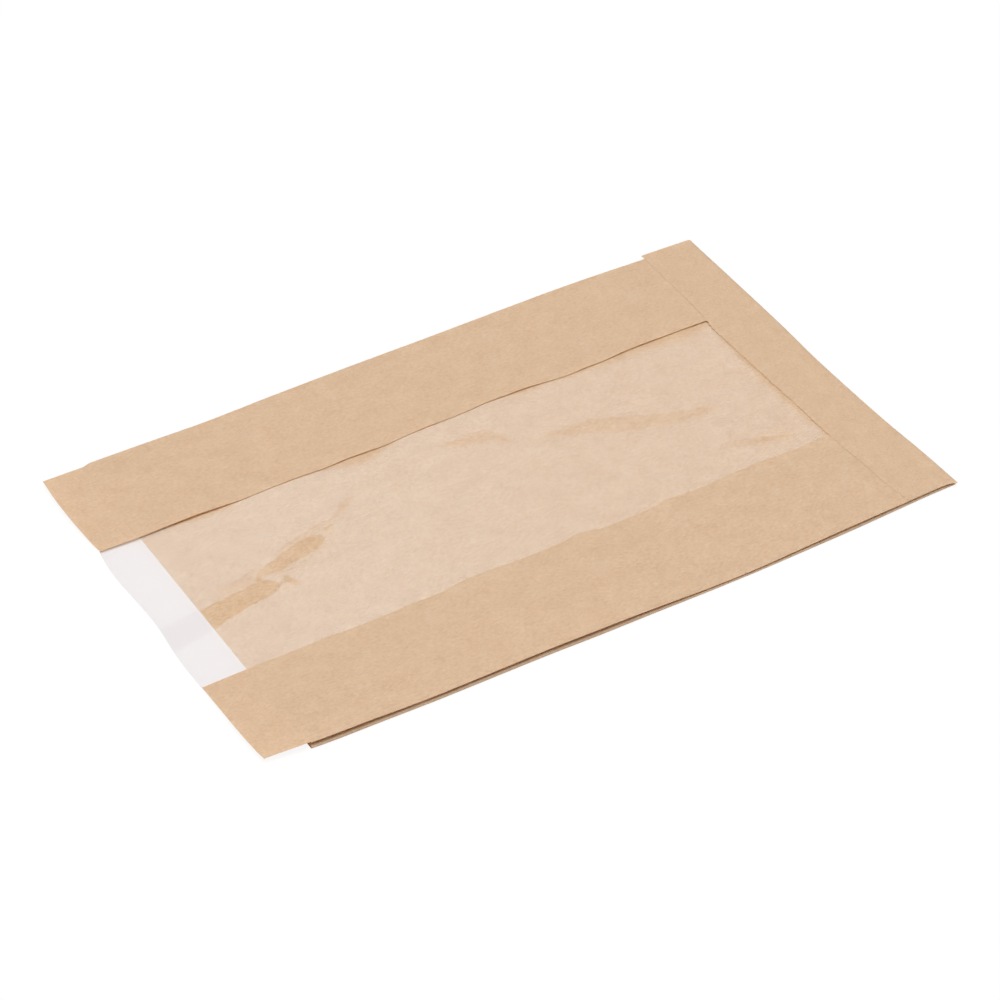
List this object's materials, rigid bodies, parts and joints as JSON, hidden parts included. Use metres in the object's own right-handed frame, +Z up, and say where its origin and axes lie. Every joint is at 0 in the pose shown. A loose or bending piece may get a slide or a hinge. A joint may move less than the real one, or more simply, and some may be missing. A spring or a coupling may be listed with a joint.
{
  "type": "paper pastry bag",
  "caption": "Flat kraft paper pastry bag with side gussets, a full-length clear window, an open mouth with a lip, and a bottom flap folded over the front.",
  "frame": {"origin": "centre of the bag's footprint, on the surface it lies on", "axes": "+X from the open mouth to the folded bottom, +Y across the bag, +Z up through the window"},
  "size_m": [0.262, 0.16, 0.0023],
  "materials": {
    "kraft_paper": "matt, uncoated, with fine fibres",
    "clear_film": "clear and glossy"
  },
  "bodies": {
    "root": {"kraft_paper_bag": "kraft_paper", "window_film": "clear_film"}
  },
  "joints": []
}
